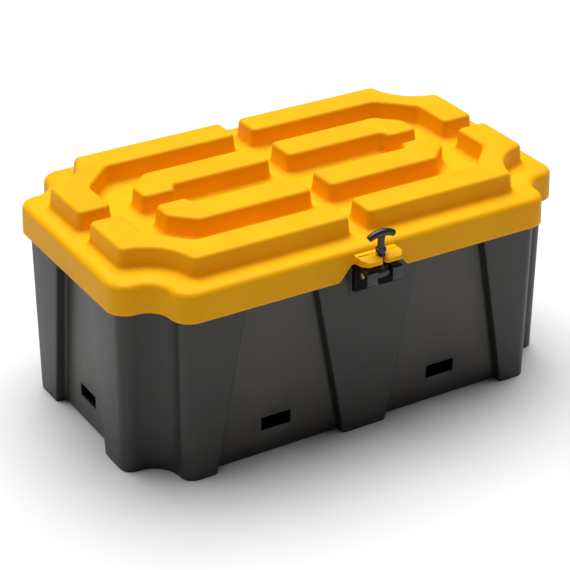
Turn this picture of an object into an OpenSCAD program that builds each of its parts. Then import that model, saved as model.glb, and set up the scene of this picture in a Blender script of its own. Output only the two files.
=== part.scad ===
// Storage toolbox with a hinged ribbed lid, a rubber T-handle latch and a sliding tote tray.
// Millimetres. X along the length, front (latch side) at -Y, Z up, origin at the middle of the base.

/* [Tub] */
// Length of the tub at its base
tub_len = 601; // [580:1:620]
// Width of the tub over its columns
tub_wid = 357; // [352:1:360]
// Height of the rim above the floor it stands on
rim_z = 253.2; // [252:0.1:253.4]
// Thickness of the tub's walls and floor
wall = 3.5; // [2.5:0.5:4]
// Radius of the two round ears of each scooped corner
ear_r = 16; // [12:1:18]
// Radius of the concave scoop of each corner
scoop_r = 37.5; // [34:0.5:40]
// How far the side panels stand back from the columns
panel_in = 13; // [8:1:14]
// Width of the strap slots
slot_w = 41; // [30:1:46]
// Height of the strap slots
slot_h = 18; // [12:1:24]

/* [Lid] */
// Height of the skirt's lower edge
skirt_z = 219; // [214:1:224]
// Height of the flat border
border_z = 257; // [257:1:258]
// Height of the raised ribs' tops
lid_top = 283; // [276:1:290]
// How far the skirt stands out past the tub's base outline
overhang = 9.5; // [9:0.5:11]
// Half width of the two straight channels between the ribs
channel = 13.5; // [10:0.5:16]

/* [Latch] */
// Height of the latch's pivot pin
pin_z = 228; // [226:1:229]
// Width across the T handle
t_w = 35; // [30:1:42]
// How far the strap's lower end of the handle stands above the pivot
collar_up = 22.8; // [22.8:0.1:24]

/* [Hinges] */
// Distance of each hinge from the middle
hinge_x = 205; // [195:1:205]
// Width of each hinge
hinge_w = 48; // [40:2:48]

/* [Tray] */
// Length of the tray's rim
tray_len = 236; // [220:2:236]
// Height of the ledges that the tray slides on
ledge_z = 200; // [190:1:200]
// Depth of the tray below its rim
tray_deep = 58; // [40:2:60]
// Number of removable dividers, which are also nodes
dividers = 3; // [3:1:3]

/* [Hidden] */
$fn = 64;
eps = 0.01;
arc_n = 8;                      // segments in each quarter arc of an outline
graphite = "#3a3835";
yellow = "#ffc800";
half_x = tub_len / 2;
half_y = tub_wid / 2;
panel_top = 228;
// Half widths of the pilaster and of the columns' inner edges, at the floor and at the skirt
pilaster = [30, 72];
column = [205.7, 164.6];
end_panel = [69, 41];
slot_x = 118.5;
slot_z = 41;
skirt_x = half_x + overhang;
skirt_y = half_y + overhang + 2;
skirt_ear = ear_r + overhang;
skirt_scoop = scoop_r - overhang;
skirt_lean = 0.03;              // the skirt leans in as it rises
edge_r = 8.5;                   // rounding of the lid's top edge
rib_draft = 3;
rib_x = [239, 281];
rib_y = [115, 157];
bar_y = [27, 72];
leg_x = [153, 195];
rib_scoop = [285, 160, 64.5];   // centre and radius of the scoop in the outer ribs' corners
pin_y = -203;
pin_r = 3;
plate_y = [-185, -181];         // front and back of the latch bracket's plate
lug_x = [10.5, 24.5];
bolt_z = [206, 230];
inner_pad_y = -175;
axle_y = 197.5;
axle_z = 215;
axle_r = 2.5;
hinge_pad_y = [175, 184];       // inner and outer faces of the tub's hinge pads
leaf_pad_y = [185.2, 190.6];    // inner and outer faces of the lid's hinge pads
leaf_t = 2.5;
base_rivet_z = [178, 191];
leaf_rivet_z = 234;
tray_x = -tray_len / 2 - 3;     // middle of the tray where it rests at the left
tray_half = [tray_len / 2 - 4, 148];
tray_rim = [tray_len / 2, 157];
tray_wall = 2.5;
rim_under = ledge_z + 0.3;
tray_floor = rim_under + 3 - tray_deep;
bail_z = 194;
bail_out = 44;
bail_r = 2.5;
spine_z = 190;
divider_gap = 2 * tray_half.x / (dividers + 1);

function arc(c, r, a, b) = [for (i = [0:arc_n]) c + r * [cos(a + (b - a) * i / arc_n), sin(a + (b - a) * i / arc_n)]];
function inside(p) = [for (i = [1:len(p) - 2]) p[i]];
function back_to_front(p) = [for (i = [len(p) - 1:-1:0]) p[i]];
function flip(p, f) = [for (q = p) [q.x * f.x, q.y * f.y]];
function at(p, z) = [for (q = p) [q.x, q.y, z]];

// One corner: a round ear of radius e, a concave scoop of radius s and a second ear
function scooped(x, y, e, s) = concat(arc([x - e, y - 2 * e - s], e, 0, 90),
    inside(arc([x - e, y - e], s, 270, 180)), arc([x - 2 * e - s, y - e], e, 0, 90));
function rounded(x, y, r) = arc([x - r, y - r], r, 0, 90);
// A whole outline from its first corner, mirrored into the other three quarters
function all_round(c) = concat(c, back_to_front(flip(c, [-1, 1])), flip(c, [-1, -1]), back_to_front(flip(c, [1, -1])));

// Solid through a stack of closed outlines with equal point counts, lowest first
module skin(rings) {
    n = len(rings[0]);
    sides = [for (k = [0:len(rings) - 2], i = [0:n - 1])
        let (a = k * n + i, b = k * n + (i + 1) % n) each [[a, a + n, b + n], [a, b + n, b]]];
    last = (len(rings) - 1) * n;
    polyhedron([for (r = rings) each r],
        concat(sides, [[for (i = [0:n - 1]) i]], [[for (i = [n - 1:-1:0]) last + i]]));
}

// The tub's outline, moved in by d
function tub_plan(d) = all_round(scooped(half_x - d, half_y - d, ear_r - d, scoop_r + d));

// The lid's outline, moved in by m, and the same at height z of its leaning skirt and rounded top edge
function lid_plan(m) = all_round(scooped(skirt_x - m, skirt_y - m, skirt_ear - m, skirt_scoop + m));
function lid_ring(z, d, in = 0) = at(lid_plan(d + in + skirt_lean * (min(z, border_z - edge_r) - skirt_z)), z);
function round_in(t) = edge_r * (1 - cos(t));
function round_up(t) = edge_r * (1 - sin(t));

function along_wall(pair, z) = pair[0] + (pair[1] - pair[0]) * z / skirt_z;

// The hollow in front of one panel, seen from the front as an upright trapezoid between two slanting
// edges; grown by g it becomes the wall behind it
module hollow(left, right, face, g) {
    translate([0, g + panel_in - face, 0]) rotate([90, 0, 0]) linear_extrude(40)
        polygon([for (q = [[left, -1, -1], [right, -1, 1], [right, panel_top + g, 1], [left, panel_top + g, -1]])
            [along_wall(q[0], q[1]) + q[2] * g, q[1]]]);
}

module panels(g) {
    for (sx = [0, 1], sy = [0, 1]) mirror([sx, 0, 0]) mirror([0, sy, 0]) hollow(pilaster, column, half_y, g);
    for (turn = [90, -90]) rotate([0, 0, turn]) hollow(-end_panel, end_panel, half_x, g);
}

// A cylinder along Y between two values of y
module rod_y(x, z, y0, y1, r) {
    translate([x, y0, z]) rotate([-90, 0, 0]) cylinder(h = y1 - y0, r = r);
}

// A cylinder along X between two values of x
module rod_x(x0, x1, y, z, r) {
    translate([x0, y, z]) rotate([0, 90, 0]) cylinder(h = x1 - x0, r = r);
}

module box(low, high) {
    translate(low) cube(high - low);
}

// A profile drawn as [y, z] and carried along X
module along_x(x0, x1) {
    translate([x0, 0, 0]) rotate([90, 0, 90]) linear_extrude(x1 - x0) children();
}

module at_hinges() {
    for (s = [-1, 1]) translate([s * hinge_x, 0, 0]) children();
}

module base_rivet_spots() {
    at_hinges() for (x = [-14, 14], z = base_rivet_z) translate([x, 0, z]) children();
}

module leaf_rivet_spots() {
    at_hinges() for (x = [-16, 0, 16]) translate([x, 0, leaf_rivet_z]) children();
}

module tub() {
    color(graphite) difference() {
        union() {
            linear_extrude(rim_z) polygon(tub_plan(0));
            translate([0, 0, 244]) linear_extrude(4) polygon(lid_plan(wall + 1.1 + skirt_lean * 29));
            box([-28, plate_y[1], 192], [28, inner_pad_y, 240]);
            at_hinges() box([-hinge_w / 2 - 2, hinge_pad_y[0], 168], [hinge_w / 2 + 2, hinge_pad_y[1], 208]);
        }
        panels(0);
        difference() {
            translate([0, 0, wall]) linear_extrude(rim_z) polygon(tub_plan(wall));
            panels(wall);
            for (s = [0, 1]) mirror([0, s, 0]) box([-243, 152, ledge_z - 4], [243, 190, ledge_z]);
            box([-14, -190, ledge_z - 4], [14, inner_pad_y, 240]);
            at_hinges() box([-hinge_w / 2, hinge_pad_y[0], 170], [hinge_w / 2, 190, 208]);
        }
        for (sx = [-1, 1]) box([sx * slot_x - slot_w / 2, -half_y - 30, slot_z - slot_h / 2],
            [sx * slot_x + slot_w / 2, half_y + 30, slot_z + slot_h / 2]);
        box([-half_x - 30, -slot_w / 2, slot_z - slot_h / 2], [half_x + 30, slot_w / 2, slot_z + slot_h / 2]);
        for (z = bolt_z) rod_y(0, z, -200, -160, 2.6);
        base_rivet_spots() rod_y(0, 0, 160, 200, 2.5);
    }
}

module latch_bracket() {
    color("#1d1c1b") difference() {
        union() {
            box([-lug_x[1], plate_y[0], 198], [lug_x[1], plate_y[1], 237]);
            for (s = [0, 1]) mirror([s, 0, 0]) along_x(lug_x[0], lug_x[1]) hull() {
                translate([pin_y - 6.5, pin_z + 4.5]) circle(r = 4.5, $fn = 24);
                translate([pin_y - 3, pin_z - 7]) circle(r = 8, $fn = 32);
                translate([plate_y[0] - eps, 198]) square([1, 39]);
            }
        }
        rod_x(-30, 30, pin_y, pin_z, pin_r + 0.02);
        for (z = bolt_z) {
            rod_y(0, z, -200, -170, 2.6);
            rod_y(0, z, plate_y[0] - 1, plate_y[0] + 2.8, 5);
        }
    }
}

module latch_bolts() {
    color("silver") for (z = bolt_z) {
        rod_y(0, z, plate_y[0] + 0.2, plate_y[0] + 2.8, 4.6);
        rod_y(0, z, plate_y[0] + 2.8 - eps, inner_pad_y + 6.5, 2.5);
    }
}

module latch_nuts() {
    color("silver") for (z = bolt_z) difference() {
        union() {
            rod_y(0, z, inner_pad_y, inner_pad_y + 1, 4.9);
            translate([0, inner_pad_y + 1 - eps, z]) rotate([-90, 0, 0]) cylinder(h = 4, r = 4.5, $fn = 6);
        }
        rod_y(0, z, inner_pad_y - 1, inner_pad_y + 6, 2.52);
    }
}

module latch_pin() {
    color("silver") {
        rod_x(-lug_x[1] - 1, lug_x[1] + 1, pin_y, pin_z, pin_r);
        for (s = [0, 1]) mirror([s, 0, 0]) rod_x(lug_x[1] + 0.1, lug_x[1] + 2, pin_y, pin_z, 4.2);
    }
}

module latch_strap() {
    collar_z = pin_z + collar_up;
    color("#242322") difference() {
        union() {
            rod_x(-9.8, 9.8, pin_y, pin_z, 8);
            box([-1.5, pin_y - 4.5, pin_z], [1.5, pin_y + 4.5, collar_z + 1]);
            translate([0, pin_y, collar_z]) cylinder(h = 4, r1 = 4.6, r2 = 6.4);
            translate([0, pin_y, collar_z + 4 - eps]) cylinder(h = 4.2, r = 6.4);
            translate([0, pin_y, collar_z + 8.2 - 2 * eps]) cylinder(h = 18, r = 4.4);
            // The arched crossbar: a slice of a ring whose middle lies below the handle
            translate([0, pin_y, collar_z - 5]) rotate([90, 0, 0]) intersection() {
                rotate_extrude($fn = 96) translate([32.5, 0]) circle(r = 4.6, $fn = 24);
                translate([-t_w / 2, 0, -10]) cube([t_w, 60, 20]);
            }
        }
        rod_x(-20, 20, pin_y, pin_z, pin_r + 0.05);
    }
}

// Knuckle and web of a hinge half; children are the [y, z] profile of its plate
module hinge_half(x0, x1) {
    along_x(x0, x1) {
        translate([axle_y, axle_z]) circle(r = 5.5);
        children();
    }
}

module hinge_base(s) {
    y0 = hinge_pad_y[1];
    color("#2b2a29") translate([s * hinge_x, 0, 0]) difference() {
        union() {
            for (k = [-1, 1]) hinge_half(k > 0 ? 9.5 : -hinge_w / 2, k > 0 ? hinge_w / 2 : -9.5)
                polygon([[y0, 190], [y0 + leaf_t, 190], [y0 + leaf_t, 203], [axle_y, axle_z - 5.5],
                    [axle_y - 5, axle_z + 1], [y0, 207]]);
            box([-hinge_w / 2, y0, 171], [hinge_w / 2, y0 + leaf_t, 204]);
        }
        rod_x(-40, 40, axle_y, axle_z, axle_r + 0.02);
        for (x = [-14, 14], z = base_rivet_z) rod_y(x, z, y0 - 1, y0 + 6, 2.5);
    }
}

module hinge_leaf(s) {
    y0 = leaf_pad_y[1];
    color("#2b2a29") translate([s * hinge_x, 0, 0]) difference() {
        union() {
            hinge_half(-9, 9) polygon([[y0, 223], [axle_y - 5, axle_z + 1], [axle_y, axle_z + 5.4],
                [y0 + leaf_t, 226], [y0, 226]]);
            box([-hinge_w / 2, y0, 223], [hinge_w / 2, y0 + leaf_t, 245]);
        }
        rod_x(-40, 40, axle_y, axle_z, axle_r + 0.05);
        for (x = [-16, 0, 16]) rod_y(x, leaf_rivet_z, y0 - 1, y0 + 6, 2.5);
    }
}

module hinge_pin(s) {
    color("silver") translate([s * hinge_x, 0, 0]) {
        rod_x(-hinge_w / 2 - 1, hinge_w / 2 + 1, axle_y, axle_z, axle_r);
        rod_x(-hinge_w / 2 - 2.5, -hinge_w / 2 - 0.2, axle_y, axle_z, 3.8);
    }
}

// A rivet along Y: round head outside at y1, formed tail inside at y0
module rivet(y0, y1) {
    rod_y(0, 0, y0 - 2.2, y0, 3.8);
    rod_y(0, 0, y0 - eps, y1 + eps, 2.4);
    rod_y(0, 0, y1, y1 + 1.6, 4.6);
}

module hinge_base_rivets() {
    color("silver") base_rivet_spots() rivet(hinge_pad_y[0], hinge_pad_y[1] + leaf_t);
}

module hinge_leaf_rivets() {
    color("silver") leaf_rivet_spots() rivet(leaf_pad_y[0], leaf_pad_y[1] + leaf_t);
}

// Plan of one outer rib in the quarter x > 0, y > 0, grown by g: an L whose corner is scooped
function outer_rib(g) = let (c = [rib_scoop[0], rib_scoop[1]], r = rib_scoop[2] - g,
        x = rib_x[1] + g, y = rib_y[1] + g, cut = 43 - g * 0.6,
        a = 360 - acos((x - c.x) / r), b = 180 - asin((y - c.y) / r))
    concat([[channel - g, rib_y[0] - g], [rib_x[0] - g - cut, rib_y[0] - g], [rib_x[0] - g, rib_y[0] - g - cut],
        [rib_x[0] - g, channel - g], [x, channel - g]], arc(c, r, a, b), [[channel - g, y]]);

// Plan of one inner rib, grown by g: a bar with a short leg towards the middle of the lid
function inner_rib(g) = let (x = leg_x[1] + g, y = bar_y[1] + g, cut = 28 + g * 0.6)
    [[channel - g, bar_y[0] - g], [leg_x[0] - g, bar_y[0] - g], [leg_x[0] - g, channel - g],
        [x, channel - g], [x, y - cut], [x - cut, y], [channel - g, y]];

// All eight ribs as solids from z0 to z1, drawn in by d all round
module ribs(z0, z1, d) {
    grow = rib_draft * (lid_top - z0) / (lid_top - border_z);
    for (sx = [0, 1], sy = [0, 1]) mirror([sx, 0, 0]) mirror([0, sy, 0]) {
        skin([at(outer_rib(grow - d), z0), at(outer_rib(-d), z1)]);
        skin([at(inner_rib(grow - d), z0), at(inner_rib(-d), z1)]);
    }
}

// The slotted tongue that the strap is pulled into; its top follows the collar's swing about the pin
module keeper() {
    tip = pin_y - 11;
    top_r = collar_up - 0.3;
    lobes = [[1.9, -197], [1.9, -210], [4.2, tip], [22, tip], [28, -205], [28, -186], [-28, -186], [-28, -205],
        [-22, tip], [-4.2, tip], [-1.9, -210], [-1.9, -197]];
    intersection() {
        translate([0, 0, 230]) linear_extrude(30) polygon(lobes);
        along_x(-30, 30) polygon(concat([[-186, pin_z + top_r], [-186, 238], [tip, 242.5]],
            back_to_front(arc([pin_y, pin_z], top_r, 90, 90 + asin(11 / top_r)))));
    }
}

module lid() {
    shelf = border_z - wall;
    turns = [0, 30, 60, 90];
    color(yellow) difference() {
        union() {
            skin(concat([lid_ring(skirt_z, 0)], [for (t = turns) lid_ring(border_z - round_up(t), 0, round_in(t))]));
            ribs(border_z - 1, lid_top, 0);
            keeper();
            at_hinges() box([-hinge_w / 2, leaf_pad_y[0] - 1, 222], [hinge_w / 2, leaf_pad_y[1], 246]);
        }
        difference() {
            skin([lid_ring(skirt_z - 1, wall), lid_ring(border_z - edge_r, wall), lid_ring(shelf, wall, 5)]);
            at_hinges() box([-hinge_w / 2, leaf_pad_y[0], 226], [hinge_w / 2, 195, 242]);
            box([-28, -200, 236], [28, -188, 252]);
        }
        ribs(shelf - 1, lid_top - wall, wall);
        along_y_cut();
        leaf_rivet_spots() rod_y(0, 0, 170, 210, 2.5);
    }
}

// The opening in the front of the skirt that shows the latch
module along_y_cut() {
    translate([0, -170, 0]) rotate([90, 0, 0]) linear_extrude(70)
        polygon([[-47, skirt_z - 1], [47, skirt_z - 1], [31, 238], [-31, 238]]);
}

module tray() {
    plan = function (h, r) all_round(rounded(h.x, h.y, r));
    inner = [tray_half.x - tray_wall, tray_half.y - tray_wall];
    color("#4a4846") translate([tray_x, 0, 0]) difference() {
        union() {
            translate([0, 0, tray_floor]) linear_extrude(rim_under + 3 - tray_floor) polygon(plan(tray_half, 12));
            translate([0, 0, rim_under]) linear_extrude(3) polygon(plan(tray_rim, 14));
        }
        difference() {
            translate([0, 0, tray_floor + tray_wall]) linear_extrude(100) polygon(plan(inner, 10));
            box([-200, -1.25, 0], [200, 1.25, spine_z]);
            for (i = [1:dividers], s = [-1, 1], y = [1, inner.y - 2.5])
                translate([i * divider_gap - tray_half.x + s * 2.3, y, 0]) box([-1, 0, 0], [1, 3, spine_z]);
        }
        rod_x(-150, 150, 0, bail_z, bail_r + 0.05);
    }
}

module tray_bail() {
    reach = tray_half.x - 8;
    color("silver") translate([tray_x, 0, 0]) {
        rod_x(-reach, reach, -bail_out, bail_z, bail_r);
        for (s = [0, 1]) mirror([s, 0, 0]) {
            rod_y(reach, bail_z, -bail_out, 0, bail_r);
            rod_x(reach, tray_half.x + 3, 0, bail_z, bail_r);
            for (y = [-bail_out, 0]) translate([reach, y, bail_z]) sphere(r = bail_r, $fn = 32);
        }
    }
}

module tray_grip() {
    color("#1d1c1b") translate([tray_x, 0, 0]) difference() {
        rod_x(-50, 50, -bail_out, bail_z, 6);
        rod_x(-51, 51, -bail_out, bail_z, bail_r + 0.02);
    }
}

module tray_divider(i) {
    color("#4a4846") translate([tray_x + i * divider_gap - tray_half.x, 0, 0])
        box([-1, 1.7, tray_floor + tray_wall + 0.3], [1, tray_half.y - tray_wall - 0.4, ledge_z]);
}

tub();
latch_bracket();
latch_bolts();
latch_nuts();
latch_pin();
latch_strap();
hinge_base(-1);  // hinge_left_base
hinge_base(1);  // hinge_right_base
hinge_pin(-1);  // hinge_left_pin
hinge_pin(1);  // hinge_right_pin
hinge_base_rivets();
lid();
hinge_leaf(-1);  // hinge_left_leaf
hinge_leaf(1);  // hinge_right_leaf
hinge_leaf_rivets();
tray();
tray_bail();
tray_grip();
tray_divider(1);  // tray_divider_1
tray_divider(2);  // tray_divider_2
tray_divider(3);  // tray_divider_3
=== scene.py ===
"""Storage toolbox: graphite tub, yellow ribbed lid, rubber T-handle latch, hinges and a sliding tray."""
import math

import bpy
import numpy as np
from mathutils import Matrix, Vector
from mathutils.geometry import delaunay_2d_cdt


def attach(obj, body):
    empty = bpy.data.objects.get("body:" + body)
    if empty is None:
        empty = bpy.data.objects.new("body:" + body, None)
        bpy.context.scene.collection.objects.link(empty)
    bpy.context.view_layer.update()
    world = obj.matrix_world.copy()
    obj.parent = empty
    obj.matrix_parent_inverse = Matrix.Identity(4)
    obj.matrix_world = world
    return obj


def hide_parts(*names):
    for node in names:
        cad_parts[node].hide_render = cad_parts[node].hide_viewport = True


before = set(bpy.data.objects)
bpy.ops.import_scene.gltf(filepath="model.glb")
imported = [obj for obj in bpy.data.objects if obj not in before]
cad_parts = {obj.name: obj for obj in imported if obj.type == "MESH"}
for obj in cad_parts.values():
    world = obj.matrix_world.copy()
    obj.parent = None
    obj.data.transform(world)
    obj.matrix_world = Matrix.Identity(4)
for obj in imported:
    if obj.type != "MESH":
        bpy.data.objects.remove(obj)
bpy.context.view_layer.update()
MM = 0.001

# ---------------------------------------------------------------- camera, floor and light


def aim(thing, place, target):
    """Puts a camera or light at a place, looking at a target with its top upwards."""
    thing.location = place
    thing.rotation_euler = (Vector(target) - Vector(place)).to_track_quat("-Z", "Y").to_euler()
    bpy.context.scene.collection.objects.link(thing)
    return thing


def around(target, azimuth, elevation, distance):
    """The point at a distance from the target: azimuth turns right from the front, elevation rises."""
    a, e = math.radians(azimuth), math.radians(elevation)
    way = Vector((math.sin(a) * math.cos(e), -math.cos(a) * math.cos(e), math.sin(e)))
    return Vector(target) + distance * way


lens = bpy.data.cameras.new("camera")
lens.lens, lens.sensor_width = 125.34, 36.0
middle = (-0.0082, 0.0, 0.1175)
viewpoint = around(middle, -30.7777, 28.3976, 2.5104)
bpy.context.scene.camera = aim(bpy.data.objects.new("camera", lens), viewpoint, middle)
bpy.context.scene.view_settings.view_transform = "Standard"

skylight = bpy.data.lights.new("overhead_diffuser", "SUN")
skylight.energy, skylight.angle = 4.7, math.radians(56)
aim(bpy.data.objects.new("overhead_diffuser", skylight), (0.25, 0.8, 3.0), (0, 0, 0.2))

studio = bpy.data.worlds.new("studio")
studio.use_nodes = True
studio.node_tree.nodes["Background"].inputs["Color"].default_value = (1, 1, 1, 1)
studio.node_tree.nodes["Background"].inputs["Strength"].default_value = 0.03
bpy.context.scene.world = studio

# ---------------------------------------------------------------- materials


def linear(code):
    """Linear RGBA of an sRGB hex colour: divide by 12.92 when dark, else raise to the power 2.4."""
    s = np.array([int(code[i:i + 2], 16) for i in (1, 3, 5)]) / 255
    return tuple(np.where(s <= 0.04045, s / 12.92, ((s + 0.055) / 1.055) ** 2.4)) + (1.0,)


def add(tree, kind, **inputs):
    """One shader node: each input takes a constant or the output that feeds it."""
    made = tree.nodes.new(kind)
    for key, value in inputs.items():
        socket = made.inputs[key.replace("_", " ")]
        if isinstance(value, bpy.types.NodeSocket):
            tree.links.new(value, socket)
        else:
            socket.default_value = value
    return made


def ramp(tree, factor, stops):
    """Colour bands over a factor: (position, hex colour) pairs."""
    made = add(tree, "ShaderNodeValToRGB", Fac=factor)
    band = made.color_ramp.elements
    for i, (at, code) in enumerate(stops):
        stop = band[i] if i < 2 else band.new(at)
        stop.position, stop.color = at, linear(code)
    return made.outputs["Color"]


def finish(name, colours, rough, grain, depth, mottle=70.0, metal=0.0, ior=None, level=None):
    """A finish from real sizes in mm: colours over mottle, a roughness band over grain, bumps of depth."""
    made = bpy.data.materials.new(name)
    made.use_nodes = True
    tree = made.node_tree
    shader = tree.nodes["Principled BSDF"]
    place = add(tree, "ShaderNodeTexCoord").outputs["Object"]
    cloud = add(tree, "ShaderNodeTexNoise", Vector=place, Scale=1000 / mottle, Detail=4.0, Roughness=0.6)
    tone = ramp(tree, cloud.outputs["Fac"], [(0.3, colours[0]), (0.7, colours[2]), (0.5, colours[1])])
    fine = add(tree, "ShaderNodeTexNoise", Vector=place, Scale=1000 / grain, Detail=3.0, Roughness=0.65)
    smear = add(tree, "ShaderNodeMapRange", Value=fine.outputs["Fac"], From_Min=0.3, From_Max=0.7,
                To_Min=rough[0], To_Max=rough[1])
    bump = add(tree, "ShaderNodeBump", Height=fine.outputs["Fac"], Strength=1.0, Distance=depth * MM)
    tree.links.new(tone, shader.inputs["Base Color"])
    tree.links.new(smear.outputs["Result"], shader.inputs["Roughness"])
    tree.links.new(bump.outputs["Normal"], shader.inputs["Normal"])
    shader.inputs["Metallic"].default_value = metal
    if ior:
        shader.inputs["IOR"].default_value = ior
    if level is not None:
        shader.inputs["Specular IOR Level"].default_value = level
    return made


# Injection-moulded polypropylene, signal yellow: a satin skin with the mould's fine spark-eroded texture.
# The real grain is about 0.3 mm and is drawn at 2.2 mm so that it still shows as a soft tooth.
yellow_polypropylene = finish("yellow_polypropylene", ("#f1a800", "#f4ad00", "#f7b200"), (0.42, 0.56),
                              2.2, 0.05, ior=1.49, level=0.12)
# The same polypropylene with carbon black and chalk: dark graphite grey, satin, with faint flow clouds.
graphite_polypropylene = finish("graphite_polypropylene", ("#1f1d19", "#23211d", "#272520"), (0.36, 0.5),
                                2.2, 0.07, mottle=110.0, ior=1.49)
# Sunken panels of the same moulding, from a finer-textured part of the mould: smoother, and a shade lighter
# as painted sheen, the light these panels catch.
graphite_panel_painted_sheen = finish("graphite_panel_painted_sheen", ("#312d27", "#37332c", "#3d3831"),
                                      (0.3, 0.42), 1.8, 0.04, mottle=90.0, ior=1.49)
# Mid-grey moulded polypropylene of the tray: an even satin sheen.
grey_polypropylene = finish("grey_polypropylene", ("#5a5956", "#605f5b", "#666560"), (0.36, 0.5), 3.0, 0.04,
                            ior=1.49)
# Glass-filled black nylon of the latch bracket: dense, glossy, with a faint glass-fibre bloom.
black_nylon = finish("black_nylon", ("#121211", "#161514", "#1c1b19"), (0.22, 0.38), 1.6, 0.02,
                     mottle=18.0, ior=1.53)
# EPDM rubber of the pull strap: soft broad sheen over a slightly dusty skin.
epdm_rubber = finish("epdm_rubber", ("#191817", "#1f1d1c", "#282523"), (0.3, 0.5), 1.3, 0.05,
                     mottle=14.0, ior=1.52)
# Zinc-plated steel of pins, bolts and the bail: bright bluish metal with a fine lengthwise draw.
zinc_plated_steel = finish("zinc_plated_steel", ("#b4b7ba", "#c6c8ca", "#d8d9da"), (0.18, 0.34), 1.2, 0.01,
                           mottle=9.0, metal=1.0)
# Black electrophoretic coat on pressed hinge steel: smooth, semi-gloss, slightly orange-peeled.
coated_steel = finish("coated_steel", ("#1f1f20", "#252526", "#2c2c2d"), (0.25, 0.4), 2.6, 0.04,
                      mottle=25.0, ior=1.5)
# Formed aluminium rivets: soft grey metal, burnished where the tool pressed them.
formed_aluminium = finish("formed_aluminium", ("#a7a8a8", "#b9babb", "#cbcccc"), (0.26, 0.42), 1.0, 0.02,
                          mottle=4.0, metal=1.0)
# Seamless studio paper under the box: matt white with a barely visible fibre.
studio_paper = finish("studio_paper", ("#dbdbdb", "#dddddd", "#dfdfdf"), (0.85, 0.95), 8.0, 0.02,
                      mottle=400.0, level=0.0)

# ---------------------------------------------------------------- surfaces
# A part is (points in mm, corner indices, corners per face), all as arrays.


def part_of(points, faces, corners):
    """A part whose faces all have the same number of corners."""
    return (np.asarray(points, float).reshape(-1, 3), np.asarray(faces, int).ravel(),
            np.full(np.asarray(faces).size // corners, corners))


def together(parts):
    """Several parts as one: each one's indices move up by the points before it."""
    before = np.cumsum([0] + [len(p[0]) for p in parts[:-1]])
    return (np.concatenate([p[0] for p in parts]), np.concatenate([p[1] + b for p, b in zip(parts, before)]),
            np.concatenate([p[2] for p in parts]))


def sheet(grid, keep=None):
    """Quads over rows of points that rise and close on themselves; keep picks faces by their middles."""
    rows, cols = grid.shape[:2]
    i, j = np.meshgrid(np.arange(rows - 1), np.arange(cols), indexing="ij")
    k = (j + 1) % cols
    quads = np.stack([i * cols + j, i * cols + k, (i + 1) * cols + k, (i + 1) * cols + j], -1)
    quads = quads.reshape(-1, 4)
    points = grid.reshape(-1, 3)
    if keep is not None:
        quads = quads[keep(points[quads].mean(1))]
    return part_of(points, quads, 4)


def lid_on(ring, up=True):
    """One flat face over a closed outline, facing up or down."""
    order = np.arange(len(ring)) if up else np.arange(len(ring))[::-1]
    return (ring, order, np.array([len(ring)]))


def stack(rings):
    """Closed solid through outlines from the lowest to the highest."""
    rings = np.asarray(rings, float)
    return together([sheet(rings), lid_on(rings[0], False), lid_on(rings[-1])])


def turn(part, axis):
    """Brings a part drawn along Z to another axis by passing its three coordinates round in order."""
    return (np.roll(part[0], {"z": 0, "x": 1, "y": 2}[axis], axis=1), part[1], part[2])


def moved(part, x):
    """A part moved along X."""
    return (part[0] + np.array([x, 0, 0]), part[1], part[2])


def mirrored(part):
    """The other hand of a part: x changes sign and every face is wound the other way."""
    ends = np.cumsum(part[2])
    starts = np.repeat(ends - part[2], part[2])
    within = np.arange(len(part[1])) - starts
    flipped = part[1][starts + np.repeat(part[2], part[2]) - 1 - within]
    return (part[0] * np.array([-1, 1, 1]), flipped, part[2])


def at(plan, z):
    """A plan drawn in x and y, lifted to height z."""
    plan = np.asarray(plan, float)
    return np.column_stack([plan, np.broadcast_to(z, len(plan))])


def prism(plan, low, high, axis="z"):
    """A plan carried from low to high; along X the plan is in y and z, along Y it is in z and x."""
    return turn(stack([at(plan, low), at(plan, high)]), axis)


def block(low, high):
    """A box between two opposite corners."""
    low, high = np.array(low, float), np.array(high, float)
    plan = [(low[0], low[1]), (high[0], low[1]), (high[0], high[1]), (low[0], high[1])]
    return prism(plan, low[2], high[2])


def lathe(profile, axis="z", centre=(0, 0), sides=40):
    """A profile of (distance along the axis, radius) pairs spun about it: radius times cosine and sine."""
    profile = np.asarray(profile, float)
    a = np.linspace(0, 2 * np.pi, sides, endpoint=False)
    ring = np.stack([np.cos(a), np.sin(a)], -1)
    rings = np.concatenate([profile[:, None, 1:] * ring[None] + np.array(centre),
                            np.broadcast_to(profile[:, None, :1], (len(profile), sides, 1))], -1)
    return turn(stack(rings), axis)


def tube(path, radius, up, other=None, sides=24):
    """A ring of two half widths carried along a path, square to it; up is square to the whole path."""
    path, up = np.asarray(path, float), np.asarray(up, float)
    ahead = np.gradient(path, axis=0)
    ahead /= np.linalg.norm(ahead, axis=1)[:, None]
    across = np.cross(up, ahead)
    a = np.linspace(0, 2 * np.pi, sides, endpoint=False)
    radius = np.broadcast_to(radius, len(path))
    other = radius if other is None else np.broadcast_to(other, len(path))
    return stack(path[:, None] + across[:, None] * (radius[:, None] * np.cos(a))[..., None]
                 + up * (other[:, None] * np.sin(a))[..., None])


def arc(cx, cy, r, start, end, n=8):
    """Points on a circle from one angle to another, in degrees."""
    a = np.radians(np.linspace(start, end, n + 1))
    return np.column_stack([cx + r * np.cos(a), cy + r * np.sin(a)])


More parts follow.
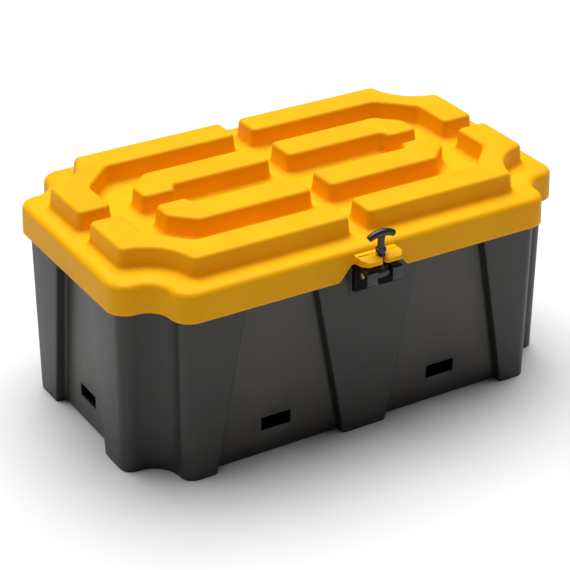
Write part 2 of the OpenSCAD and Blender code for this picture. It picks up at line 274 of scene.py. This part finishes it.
def eased(corners, radii, closed=True, n=6):
    """Each corner becomes an arc that touches both sides at radius / tan(half the angle) from it."""
    p = np.asarray(corners, float)
    q = p if closed else p[1:-1]
    u = (np.roll(p, 1, 0) if closed else p[:-2]) - q
    v = (np.roll(p, -1, 0) if closed else p[2:]) - q
    u, v = (w / np.linalg.norm(w, axis=1)[:, None] for w in (u, v))
    r = np.broadcast_to(radii, len(q))[:, None]
    half = np.arccos(np.clip((u * v).sum(1), -1, 1))[:, None] / 2
    way = (u + v) / np.linalg.norm(u + v, axis=1)[:, None]
    centre = q + way * r / np.sin(half)
    a, b = (q + w * r / np.tan(half) - centre for w in (u, v))
    start = np.arctan2(a[:, 1], a[:, 0])
    swing = (np.arctan2(b[:, 1], b[:, 0]) - start + np.pi) % (2 * np.pi) - np.pi
    t = start[:, None] + swing[:, None] * np.linspace(0, 1, n + 1)
    arcs = centre[:, None] + r[:, None] * np.stack([np.cos(t), np.sin(t)], -1)
    arcs = arcs.reshape(-1, 2)
    return arcs if closed else np.concatenate([p[:1], arcs, p[-1:]])


def grown(plan, by):
    """An outline moved outwards: each point goes by that much square to both of its sides."""
    side = np.roll(plan, -1, 0) - plan
    side /= np.linalg.norm(side, axis=1)[:, None]
    out = np.column_stack([side[:, 1], -side[:, 0]])
    before = np.roll(out, 1, 0)
    return plan + by * (out + before) / (1 + (out * before).sum(1))[:, None]


def all_round(quarter):
    """A quarter outline from the X axis to the Y axis, mirrored into the other three in order."""
    q = np.asarray(quarter, float)
    return np.concatenate([q, (q * [-1, 1])[::-1], -q, (q * [1, -1])[::-1]])


def inside(points, ring):
    """Which points lie in a closed outline: a ray towards +X crosses it an odd number of times."""
    x, y = points[:, :1], points[:, 1:2]
    a, b = ring, np.roll(ring, -1, 0)
    spans = (a[:, 1] > y) != (b[:, 1] > y)
    rise = np.where(b[:, 1] == a[:, 1], 1, b[:, 1] - a[:, 1])
    return (spans & (x < a[:, 0] + (y - a[:, 1]) / rise * (b[:, 0] - a[:, 0]))).sum(1) % 2 == 1


def plate(outline, holes, z):
    """A flat sheet between an outline and its holes, in Delaunay triangles, facing up."""
    rings = [outline] + holes
    points = np.concatenate(rings)
    first = np.cumsum([0] + [len(r) for r in rings])
    edges = np.concatenate([np.column_stack([np.arange(len(r)), np.roll(np.arange(len(r)), -1)]) + f
                            for r, f in zip(rings, first)])
    x, y = np.meshgrid(np.arange(-296, 300, 11.0), np.arange(-181, 185, 11.0))
    free = np.column_stack([x.ravel(), y.ravel()])
    clear = inside(free, outline)
    for hole in holes:
        clear &= ~inside(free, hole)
    near = np.linalg.norm(free[:, None] - points[None], axis=2).min(1) > 3
    points = np.concatenate([points, free[clear & near]])
    found = delaunay_2d_cdt([Vector(p) for p in points.tolist()], edges.tolist(), [], 0, 1e-5)
    spots, faces = np.array([tuple(v) for v in found[0]]), np.array(found[2])
    middles = spots[faces].mean(1)
    keep = inside(middles, outline)
    for hole in holes:
        keep &= ~inside(middles, hole)
    return part_of(at(spots, z), faces[keep], 3)


def mesh_from(part, name):
    """The arrays as a Blender mesh in metres."""
    points, corners, sizes = part
    mesh = bpy.data.meshes.new(name)
    mesh.vertices.add(len(points))
    mesh.vertices.foreach_set("co", (points * MM).ravel())
    mesh.loops.add(len(corners))
    mesh.loops.foreach_set("vertex_index", corners.astype(np.int32))
    mesh.polygons.add(len(sizes))
    mesh.polygons.foreach_set("loop_start", (np.cumsum(sizes) - sizes).astype(np.int32))
    mesh.update(calc_edges=True)
    mesh.validate()
    return mesh


def worked(part, wall=0.0, edge=0.0, segments=2):
    """A part with doubles merged, its wall thickened inwards and edges over 32 degrees rounded, in mm."""
    mesh = mesh_from(part, "blank")
    blank = bpy.data.objects.new("blank", mesh)
    bpy.context.scene.collection.objects.link(blank)
    merge = blank.modifiers.new("merge", "WELD")
    merge.merge_threshold = 0.01 * MM
    if wall:
        thick = blank.modifiers.new("wall", "SOLIDIFY")
        thick.thickness, thick.offset, thick.use_even_offset = wall * MM, -1.0, True
    if edge:
        ease = blank.modifiers.new("edge", "BEVEL")
        ease.width, ease.segments, ease.limit_method = edge * MM, segments, "ANGLE"
        ease.angle_limit = math.radians(32)
    bpy.context.view_layer.update()
    done = blank.evaluated_get(bpy.context.evaluated_depsgraph_get()).to_mesh()
    points = np.empty(len(done.vertices) * 3)
    corners = np.empty(len(done.loops), np.int32)
    sizes = np.empty(len(done.polygons), np.int32)
    done.vertices.foreach_get("co", points)
    done.loops.foreach_get("vertex_index", corners)
    done.polygons.foreach_get("loop_total", sizes)
    blank.to_mesh_clear()
    bpy.data.objects.remove(blank)
    bpy.data.meshes.remove(mesh)
    return (points.reshape(-1, 3) / MM, corners.astype(int), sizes.astype(int))


def piece(name, parts, material, body, slot, *nodes, second=None, where=None):
    """A finished piece, smooth but for edges over 38 degrees, riding its body in place of its CAD nodes.
    Faces whose middles (mm) are picked by where take the second material."""
    mesh = mesh_from(together(parts), name)
    mesh.polygons.foreach_set("use_smooth", np.ones(len(mesh.polygons), bool))
    mesh.set_sharp_from_angle(angle=math.radians(38))
    mesh.materials.append(material)
    if second:
        mesh.materials.append(second)
        middles = np.empty(len(mesh.polygons) * 3)
        mesh.polygons.foreach_get("center", middles)
        mesh.polygons.foreach_set("material_index", where(middles.reshape(-1, 3) / MM).astype(np.int32))
    made = bpy.data.objects.new(name, mesh)
    bpy.context.scene.collection.objects.link(made)
    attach(made, body)
    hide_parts(*nodes)


# ---------------------------------------------------------------- tub

HALF_X, FOOT_Y, DRAFT_Y = 300.5, 176.5, 3.7
SKIRT_Z, PANEL_TOP, RIM_Z = 219.0, 228.0, 253.2
EAR, SCOOP, PANEL_IN, TUB_WALL = 16.0, 37.5, 13.0, 3.5
SLOT_X, SLOT_W, SLOT_Z, SLOT_H = 118.5, 41.0, 41.0, 18.0


def half_depth(z):
    """The tub's half depth at height z: its walls lean out evenly up to the lid's skirt."""
    return FOOT_Y + DRAFT_Y * np.minimum(z, SKIRT_Z) / SKIRT_Z


def corner(x, y, ear, scoop, n=8):
    """One corner of a box: a round ear, a concave scoop about the corner's own point, and a second ear."""
    return np.concatenate([arc(x - ear, y - 2 * ear - scoop, ear, 0, 90, n),
                           arc(x - ear, y - ear, scoop, 270, 180, 2 * n)[1:-1],
                           arc(x - 2 * ear - scoop, y - ear, ear, 0, 90, n)])


def step_in(turn_out=2.5, turn_in=4.0, slant=1.2, n=4):
    """Plan of the step into a sunken panel, (along, depth): convex arc, slanted wall, concave arc."""
    t = np.radians(np.linspace(0, 90, n + 1))
    lip = np.column_stack([turn_out * (np.sin(t) - 1), turn_out * (1 - np.cos(t))])
    foot = np.column_stack([slant + turn_in * (1 - np.cos(t)), PANEL_IN - turn_in * (1 - np.sin(t))])
    return np.concatenate([lip, foot])


def tub_quarter(z, depth):
    """The tub's outline at height z from the X axis to the Y axis, with the panels sunk by depth."""
    y, up = half_depth(z), z / SKIRT_Z
    end, column, pilaster = 69 - 28 * up, 205.7 - 41.1 * up, 30 + 42 * up
    sunk = depth / PANEL_IN
    short = step_in()
    middle = np.linspace(0, SLOT_W / 2, 3)
    edge = end - short[::-1, 0]
    end_wall = np.concatenate([
        np.column_stack([np.full(4, HALF_X - depth), np.append(middle, (SLOT_W / 2 + edge[0]) / 2)]),
        np.column_stack([HALF_X - short[::-1, 1] * sunk, edge])])
    right = np.column_stack([column - short[:, 0], y - short[:, 1] * sunk])
    left = np.column_stack([pilaster + short[::-1, 0], y - short[::-1, 1] * sunk])
    inner, outer = SLOT_X - SLOT_W / 2, SLOT_X + SLOT_W / 2
    across = np.array([(right[-1, 0] + outer) / 2, outer, outer - 10,
                       inner + 10, inner, (left[0, 0] + inner) / 2])
    return np.concatenate([end_wall, corner(HALF_X, y, EAR, SCOOP), right,
                           np.column_stack([across, np.full(6, y - depth)]), left, [[0, y]]])


def tub_outline(z, depth=PANEL_IN):
    """The whole outline: the quarter mirrored three times, with the points on the axes kept once."""
    q = tub_quarter(z, depth)
    return np.concatenate([q, (q * [-1, 1])[::-1][1:], (-q)[1:], (q * [1, -1])[::-1][1:-1]])


def tub_shell():
    """The tub's skin: outlines stacked from a rounded foot to the rim without the slots, then a wall."""
    quarter = np.radians([0, 30, 60, 90])
    rings = [at(grown(tub_outline(2 * (1 - math.cos(t))), -2 * (1 - math.sin(t))), 2 * (1 - math.cos(t)))
             for t in quarter]
    low, high = SLOT_Z - SLOT_H / 2, SLOT_Z + SLOT_H / 2
    for z in (16, low, SLOT_Z, high, 70, 100, 130, 160, 190, SKIRT_Z - 2, PANEL_TOP - 5.5):
        rings.append(at(tub_outline(z), z))
    for t in quarter[1:]:
        depth = PANEL_IN - 4 * (1 - math.cos(t))
        rings.append(at(tub_outline(PANEL_TOP, depth), PANEL_TOP - 5.5 + 4 * math.sin(t)))
    for t in quarter:
        depth = 1.5 * (1 - math.sin(t))
        rings.append(at(tub_outline(PANEL_TOP, depth), PANEL_TOP + 1.5 * (1 - math.cos(t))))
    rings.append(at(tub_outline(PANEL_TOP, 0), RIM_Z))

    def solid(m):
        """Faces that stay: all but those within a slot."""
        level = (m[:, 2] > low) & (m[:, 2] < high)
        long_side = (np.abs(np.abs(m[:, 0]) - SLOT_X) < SLOT_W / 2) & (np.abs(m[:, 1]) > 150)
        short_side = (np.abs(m[:, 1]) < SLOT_W / 2) & (np.abs(m[:, 0]) > 280)
        return ~(level & (long_side | short_side))

    rings = np.array(rings)
    base = plate(rings[0][:, :2], [], 0)
    under = (base[0], base[1][::-1], base[2])
    return worked(together([sheet(rings, keep=solid), under]), wall=TUB_WALL, edge=0.7)


def ledge():
    """The rear tray ledge: a strip from its straight inner edge out to the middle of the long wall."""
    line = grown(tub_outline(198), -1.8)
    line = line[(line[:, 1] > 100) & (np.abs(line[:, 0]) < 231.5)]
    near = np.column_stack([line[::-1, 0], np.full(len(line), 152.0)])
    return worked(prism(np.concatenate([near, line]), 196, 200), edge=0.8)


def turned_half(part):
    """A part turned half round the vertical axis."""
    return (part[0] * np.array([-1, -1, 1]), part[1], part[2])


def rim_flange():
    """A closed band round the tub, under the lid: four outlines, out, up, in and down again."""
    line = tub_outline(246, 0)
    near, far = grown(line, -2), grown(line, 4.1)
    rings = [at(near, 244), at(far, 244), at(far, 248), at(near, 248), at(near, 244)]
    return worked(sheet(np.array(rings)), edge=0.8)


# ---------------------------------------------------------------- lid

LID_X, LID_Y, LID_EAR, LID_SCOOP = 310.0, 190.0, 25.5, 28.0
BORDER_Z, LID_TOP, EDGE, LID_WALL, LEAN = 257.0, 283.0, 8.5, 3.5, 0.03
GAP, RIB_FOOT, RIB_BROW = 13.5, 4.8, 4.4
# The skirt's lower edge in front, as (x, z): it steps up over the latch.
NOTCH = eased([(-66, SKIRT_Z), (-47, SKIRT_Z), (-31, 238), (31, 238), (47, SKIRT_Z), (66, SKIRT_Z)],
              [4, 5, 5, 4], closed=False)


def lid_plan(m):
    """The lid's outline moved in by m, with extra points over the latch notch in the front."""
    q = corner(LID_X - m, LID_Y - m, LID_EAR - m, LID_SCOOP + m, 9)
    front = np.column_stack([NOTCH[:, 0], np.full(len(NOTCH), m - LID_Y)])
    return np.concatenate([q, (q * [-1, 1])[::-1], -q, front, (q * [1, -1])[::-1]])


def skirt_ring(share):
    """The skirt at a share of its height: it leans in as it rises and starts at the notch in front."""
    still, inward = lid_plan(0), lid_plan(1) - lid_plan(0)
    low = np.full(len(still), SKIRT_Z)
    front = 3 * len(corner(LID_X, LID_Y, LID_EAR, LID_SCOOP, 9))
    low[front:front + len(NOTCH)] = NOTCH[:, 1]
    z = low + (BORDER_Z - EDGE - low) * share
    return np.column_stack([still + inward * (LEAN * (z - SKIRT_Z))[:, None], z])


def outer_rib():
    """Plan of an outer rib at its top: an L with a chamfered inner corner and a scooped outer one.
    The scoop is a circle about c; a small arc joins it to each outer side, tangent to both."""
    c, big, small = np.array([285.0, 160.0]), 64.5, 9.0
    x, y = 281.0, 157.0
    c1 = np.array([x - small, c[1] - math.sqrt((big + small) ** 2 - (x - small - c[0]) ** 2)])
    c2 = np.array([c[0] - math.sqrt((big + small) ** 2 - (y - small - c[1]) ** 2), y - small])
    a1 = math.degrees(math.atan2(*(c - c1)[::-1]))
    a2 = math.degrees(math.atan2(*(c - c2)[::-1]))
    straight = eased([(c2[0], y), (GAP, y), (GAP, 115), (196, 115), (239, 72), (239, GAP), (x, GAP),
                      (x, c1[1])], [7, 7, 16, 16, 7, 7], closed=False)
    return np.concatenate([straight, arc(*c1, small, 0, a1, 6)[1:],
                           arc(*c, big, a1 - 180, a2 - 180, 18)[1:], arc(*c2, small, a2, 90, 6)[1:-1]])


def inner_rib():
    """Plan of an inner rib at its top: a bar with a short leg inwards and a chamfered corner."""
    return eased([(GAP, 27), (153, 27), (153, GAP), (195, GAP), (195, 44), (167, 72), (GAP, 72)],
                 [7, 8.4, 4.8, 7, 11, 11, 7])


def rib_rings(plan):
    """A rib's outlines from the border up: concave foot arc, wall drafted 3 mm, convex brow arc, top."""
    t = np.radians([0, 18, 36, 54, 72, 90])
    z = np.concatenate([BORDER_Z + RIB_FOOT * (1 - np.cos(t)), LID_TOP - RIB_BROW + RIB_BROW * np.sin(t)])
    out = 3 * (LID_TOP - z) / (LID_TOP - BORDER_Z)
    out += np.concatenate([RIB_FOOT * (1 - np.sin(t)), -RIB_BROW * (1 - np.cos(t))])
    z = np.concatenate([[BORDER_Z], z, [LID_TOP]])
    out = np.concatenate([[out[0] + 0.5], out, [out[-1] - 0.3]])
    return np.array([at(grown(plan, o), h) for o, h in zip(out, z)])


def lid_shell():
    """Skirt, rounded top edge, flat border and eight hollow ribs as one skin, then a wall inside it."""
    rows = [skirt_ring(s) for s in (0, 0.12, 0.4, 0.7, 1)]
    m0 = LEAN * (BORDER_Z - EDGE - SKIRT_Z)
    for t in np.radians([15, 30, 45, 60, 75, 90]):
        rows.append(at(lid_plan(m0 + EDGE * (1 - math.cos(t))), BORDER_Z - EDGE * (1 - math.sin(t))))
    rows.append(at(lid_plan(m0 + EDGE + 0.8), BORDER_Z))
    parts, holes = [sheet(np.array(rows))], []
    for plan in (outer_rib(), inner_rib()):
        for sx, sy in ((1, 1), (-1, 1), (-1, -1), (1, -1)):
            own = plan * [sx, sy]
            rings = rib_rings(own if sx * sy > 0 else own[::-1])
            parts += [sheet(rings), lid_on(rings[-1])]
            holes.append(rings[0][:, :2])
    parts.append(plate(rows[-1][:, :2], holes, BORDER_Z))
    return worked(together(parts), wall=LID_WALL, edge=0.7)


PIN_Y, PIN_Z, KEEPER_R = -203.0, 228.0, 22.3


def keeper():
    """The slotted tongue: stations from the skirt to the tip, its top on an arc about the latch pin."""
    y = np.array([-184, -190, -194, -197, -200, -203, -205, -207.5, -210, -212, -214.0])
    out = np.interp(-y, [205, 214], [28, 22])
    slit = np.interp(-y, [210, 214], [1.9, 4.2])
    top = PIN_Z + np.sqrt(KEEPER_R ** 2 - np.minimum(y - PIN_Y, 0) ** 2)
    bottom = np.interp(-y, [186, 214], [238, 242.5])
    parts = []
    for a, b, rows in ((slit, out, y <= -197), (-out, -slit, y <= -197), (-out, out, y >= -197)):
        edges = ((a, bottom), (b, bottom), (b, top), (a, top))
        rings = np.stack([np.column_stack([x, y, z]) for x, z in edges], 1)[rows]
        parts.append(together([sheet(rings[::-1]), lid_on(rings[-1], False), lid_on(rings[0])]))
    return worked(together(parts), edge=0.9, segments=3)


# ---------------------------------------------------------------- latch

BOLT_Z = (206.0, 230.0)


def latch_bracket():
    """Plate with two lugs: a lug's outline has a small upper arc, a flat front and a lower arc."""
    lug = np.concatenate([[(-181, 198), (-181, 237), (-185, 237)],
                          arc(PIN_Y - 6.5, PIN_Z + 4.5, 4.5, 90, 180, 6),
                          arc(PIN_Y - 3, PIN_Z - 7, 8, 180, 232, 10), [(-185, 198)]])
    side = worked(prism(lug, 10.5, 24.5, "x"), edge=1.0, segments=3)
    return [side, mirrored(side), worked(block((-24.5, -185, 198), (24.5, -181, 237)), edge=0.8)]


def latch_strap():
    """Eye round the pin, thin neck, flared collar, round shank and an arched bar with domed ends."""
    eye = lathe([(-9.8, 6.9), (-9.5, 7.6), (-8.8, 8), (8.8, 8), (9.5, 7.6), (9.8, 6.9)], "x",
                (PIN_Y, PIN_Z))
    a = np.linspace(0, 2 * np.pi, 32, endpoint=False)

    def oval(z, x, y, power=0.5):
        """Rounded oval outlines: half widths times signed powers of cosine and sine."""
        c, s = (np.sign(w(a)) * np.abs(w(a)) ** power for w in (np.cos, np.sin))
        return at(np.column_stack([x * c, PIN_Y + y * s]), z)

    neck = stack([oval(*k) for k in ((231, 6, 6.4), (234, 4.2, 6), (236.5, 2, 5), (239, 1.5, 4.5),
                                     (252, 1.5, 4.5))])
    collar = lathe([(250.8, 3.9), (251.1, 4.6), (254.3, 6.2), (254.9, 6.4), (258.2, 6.4), (258.7, 6.2),
                    (259, 5.6), (259.2, 4.9), (259.6, 4.5)], "z", (0, PIN_Y))
    shank = stack([oval(*k, 1.0) for k in ((258, 4.6, 4.6), (260, 4.3, 4.3), (268, 4.2, 4.3),
                                           (271.5, 4.5, 4.3), (273.6, 5.6, 4.3), (275, 7.6, 4.2),
                                           (276.4, 10, 3.6))])
    turn_by = np.linspace(-1, 1, 41)
    swing = np.radians(32.6) * np.sin(turn_by * np.pi / 2)
    bow = 32.5
    path = np.column_stack([bow * np.sin(swing), np.full(41, PIN_Y), 245.8 + bow * np.cos(swing)])
    fade = np.clip((1 - np.abs(turn_by)) / 0.27, 0, 1)
    dome = np.sqrt(1 - (1 - fade) ** 4) * 0.9 + 0.1
    bar = tube(path, (4.6 - 1.1 * turn_by ** 2) * dome, (0, 1, 0), (4.6 - 0.7 * turn_by ** 2) * dome)
    return [eye, neck, collar, shank, bar]


# Profiles along the axis as (place, radius): the latch pin with its heads, and a domed latch bolt.
PIN = [(-26.5, 2.2), (-26.3, 3.4), (-25.8, 4.1), (-25.2, 4.2), (-24.7, 4.2), (-24.7, 3),
       (24.7, 3), (24.7, 4.2), (25.2, 4.2), (25.8, 4.1), (26.3, 3.4), (26.5, 2.2)]
BOLT = [(-184.9, 0.8), (-184.8, 2.9), (-184.4, 3.9), (-183.8, 4.5), (-183, 4.6), (-182.2, 4.6), (-182.2, 2.5),
        (-168.8, 2.5), (-168.5, 2.2)]

# ---------------------------------------------------------------- hinges

HINGE_X, AXLE_Y, AXLE_Z = 205.0, 197.5, 215.0
LOWER_RIVET_Z, UPPER_RIVET_Z = (178, 191), 234


def knuckle(a, b, web):
    """A round knuckle on the hinge's axis with the web that joins it to its plate."""
    eye = lathe([(a, 4.9), (a + 0.5, 5.5), (b - 0.5, 5.5), (b, 4.9)], "x", (AXLE_Y, AXLE_Z))
    return [eye, worked(prism(web, a, b, "x"), edge=0.4)]


def hinge_base(x):
    """The tub's half of a hinge: a plate with a knuckle at each side."""
    web = [(184, 190), (186.5, 190), (186.5, 203), (AXLE_Y, 209.5), (192.5, 216), (184, 207)]
    leaf = worked(block((-24, 184, 171), (24, 186.5, 204)), edge=0.9, segments=3)
    return [moved(p, x) for p in [leaf] + knuckle(9.5, 24, web) + knuckle(-24, -9.5, web)]


def hinge_leaf(x):
    """The lid's half of a hinge: a plate with one knuckle in the middle."""
    web = [(190.6, 223), (192.5, 216), (AXLE_Y, 220.4), (193.1, 226), (190.6, 226)]
    leaf = worked(block((-24, 190.6, 223), (24, 193.1, 245)), edge=0.9, segments=3)
    return [moved(p, x) for p in [leaf] + knuckle(-9, 9, web)]


def rivet(x, z, y0, y1):
    """A domed head outside at y1, a shank and a formed tail inside at y0."""
    return lathe([(y0 - 2.2, 1.0), (y0 - 2, 2.6), (y0 - 1.2, 3.5), (y0, 3.8), (y0, 2.4), (y1, 2.4), (y1, 4.6),
                  (y1 + 0.4, 4.5), (y1 + 1.1, 3.4), (y1 + 1.5, 1.9), (y1 + 1.6, 0.6)], "y", (z, x), 28)


# The hinge pin's profile: a rounded head at its left end.
HINGE_PIN = [(-26.5, 2.6), (-26.1, 3.5), (-25.6, 3.8), (-24.3, 3.8), (-24.3, 2.5), (24.6, 2.5), (25, 2.1)]

# ---------------------------------------------------------------- tray

TRAY_X, TRAY_FLOOR = -121.0, 145.3


def tray_ring(inset, z):
    """The tray's rounded outline at height z, moved in on all sides by an inset."""
    r = 12 - inset
    return at(all_round(arc(114 - inset - r, 148 - inset - r, r, 0, 90, 8)), z) + np.array([TRAY_X, 0, 0])


def tray_body():
    """Rounded floor edge, upright walls and a wide rim, with a wall; then the spine and divider guides."""
    rows = [tray_ring(5 * (1 - math.sin(t)), TRAY_FLOOR + 5 * (1 - math.cos(t)))
            for t in np.radians([0, 22, 45, 68, 90])]
    rows += [tray_ring(-1.6 * (1 - math.cos(t)), 198.8 + 1.6 * math.sin(t))
             for t in np.radians([0, 30, 60, 90])]
    rim = arc(118 - 14, 157 - 14, 14, 0, 90, 8)
    rows.append(at(all_round(rim), 200.4) + np.array([TRAY_X, 0, 0]))
    shell = worked(together([sheet(np.array(rows)), lid_on(rows[0], False)]), wall=2.8, edge=0.7)
    ribs = [block((-111.6, -1.25, 147), (111.6, 1.25, 190))]
    for i in (-57, 0, 57):
        for s in (-2.3, 2.3):
            for y in (1.0, 143.0):
                ribs.append(block((i + s - 1, y, 147), (i + s + 1, y + 3, 190)))
    return [shell] + [moved(worked(r, edge=0.5), TRAY_X) for r in ribs]


def tray_bail():
    """A wire carried round a bent path, its corners turned on arcs."""
    path = eased([(-117, 0), (-106, 0), (-106, -44), (106, -44), (106, 0), (117, 0)], [4, 6, 6, 4],
                 closed=False, n=8)
    steps = np.linalg.norm(np.diff(path, axis=0), axis=1)
    path = path[np.append(True, steps > 0.05)]
    return [moved(tube(at(path, 194.0), 2.5, (0, 0, 1), sides=20), TRAY_X)]


def tray_grip():
    """A moulded sleeve: a round profile with five shallow finger waves and rounded ends."""
    x = np.linspace(-50, 50, 81)
    wave = 5.65 + 0.35 * np.cos(x * 2 * np.pi / 20)
    ends = np.clip((50 - np.abs(x)) / 2.5, 0, 1)
    radius = wave - 1.6 * (1 - np.sqrt(1 - (1 - ends) ** 2))
    return [moved(lathe(np.column_stack([x, radius]), "x", (-44, 194)), TRAY_X)]


def divider(i):
    """A thin plate with a shallow dip in its top edge for a fingertip."""
    y = np.linspace(1.7, 145.1, 49)
    top = 200 - 5 * np.exp(-((y - 73.4) / 16) ** 4)
    side = np.concatenate([np.column_stack([y, np.full(49, 148.1)]), np.column_stack([y, top])[::-1]])
    return [moved(worked(prism(side, -1, 1, "x"), edge=0.5), TRAY_X + 57 * i)]


# ---------------------------------------------------------------- pieces

tub_bits = [tub_shell(), ledge(), turned_half(ledge()), rim_flange(),
            worked(block((-28, -181, 192), (28, -175, 240)), edge=0.8)]
hinge_seat = worked(block((-26, 175, 168), (26, 184, 208)), edge=0.8)
tub_bits += [moved(hinge_seat, s * HINGE_X) for s in (-1, 1)]


def sunken(m):
    """Faces of the sunken outer panels, which take the lighter painted sheen: their middles lie a panel's
    depth behind the columns.
    """
    side = half_depth(m[:, 2]) - PANEL_IN
    long_wall = (np.abs(np.abs(m[:, 1]) - side) < 0.6) & (np.abs(m[:, 0]) < 206) & (m[:, 2] > 1)
    end_wall = (np.abs(np.abs(m[:, 0]) - (HALF_X - PANEL_IN)) < 0.6) & (np.abs(m[:, 1]) < 70) & (m[:, 2] > 1)
    return (long_wall | end_wall) & (m[:, 2] < PANEL_TOP - 5)


# The sunken panels take the lighter graphite: painted sheen standing in for the light they catch.
piece("tub_shell", tub_bits, graphite_polypropylene, "box", "tub_plastic", "tub",
      second=graphite_panel_painted_sheen, where=sunken)
lid_bits = [lid_shell(), keeper()]
leaf_seat = worked(block((-24, 184.2, 222), (24, 190.6, 246)), edge=0.6)
lid_bits += [moved(leaf_seat, s * HINGE_X) for s in (-1, 1)]
piece("lid_shell", lid_bits, yellow_polypropylene, "lid", "lid_plastic", "lid")
piece("latch_lugs", latch_bracket(), black_nylon, "box", "latch_plastic", "latch_bracket")
piece("latch_t_strap", latch_strap(), epdm_rubber, "latch", "strap_rubber", "latch_strap")
piece("latch_pivot", [lathe(PIN, "x", (PIN_Y, PIN_Z))], zinc_plated_steel, "box", "zinc_steel", "latch_pin")
piece("latch_screws", [lathe(BOLT, "y", (z, 0)) for z in BOLT_Z], zinc_plated_steel, "box", "zinc_steel",
      "latch_bolts")
nuts = [lathe([(-175, 4.9), (-174, 4.9)], "y", (z, 0)) for z in BOLT_Z]
nuts += [worked(lathe([(-174, 4.5), (-170, 4.5)], "y", (z, 0), 6), edge=0.4) for z in BOLT_Z]
piece("latch_screw_nuts", nuts, zinc_plated_steel, "box", "zinc_steel", "latch_nuts")
for hand, x in (("left", -HINGE_X), ("right", HINGE_X)):
    piece(f"hinge_{hand}_lower", hinge_base(x), coated_steel, "box", "hinge_steel", f"hinge_{hand}_base")
    piece(f"hinge_{hand}_upper", hinge_leaf(x), coated_steel, "lid", "hinge_steel", f"hinge_{hand}_leaf")
    piece(f"hinge_{hand}_axle", [moved(lathe(HINGE_PIN, "x", (AXLE_Y, AXLE_Z)), x)], zinc_plated_steel, "box",
          "zinc_steel", f"hinge_{hand}_pin")
lower = [rivet(s * HINGE_X + x, z, 175, 186.5) for s in (-1, 1) for x in (-14, 14) for z in LOWER_RIVET_Z]
upper = [rivet(s * HINGE_X + x, UPPER_RIVET_Z, 185.2, 193.1) for s in (-1, 1) for x in (-16, 0, 16)]
piece("hinge_lower_rivets", lower, formed_aluminium, "box", "rivet_aluminium", "hinge_base_rivets")
piece("hinge_upper_rivets", upper, formed_aluminium, "lid", "rivet_aluminium", "hinge_leaf_rivets")
piece("tray_tub", tray_body(), grey_polypropylene, "tray", "tray_plastic", "tray")
piece("tray_handle_wire", tray_bail(), zinc_plated_steel, "tray_handle", "zinc_steel", "tray_bail")
piece("tray_handle_grip", tray_grip(), black_nylon, "tray_handle", "latch_plastic", "tray_grip")
for i in (1, 2, 3):
    piece(f"divider_plate_{i}", divider(i - 2), grey_polypropylene, f"divider_{i}", "tray_plastic",
          f"tray_divider_{i}")

REACH = 40000
paper = mesh_from(part_of([(-REACH, -REACH, 0), (REACH, -REACH, 0), (REACH, REACH, 0), (-REACH, REACH, 0)],
                          [[0, 1, 2, 3]], 4), "floor")
paper.materials.append(studio_paper)
floor = bpy.data.objects.new("floor", paper)
bpy.context.scene.collection.objects.link(floor)
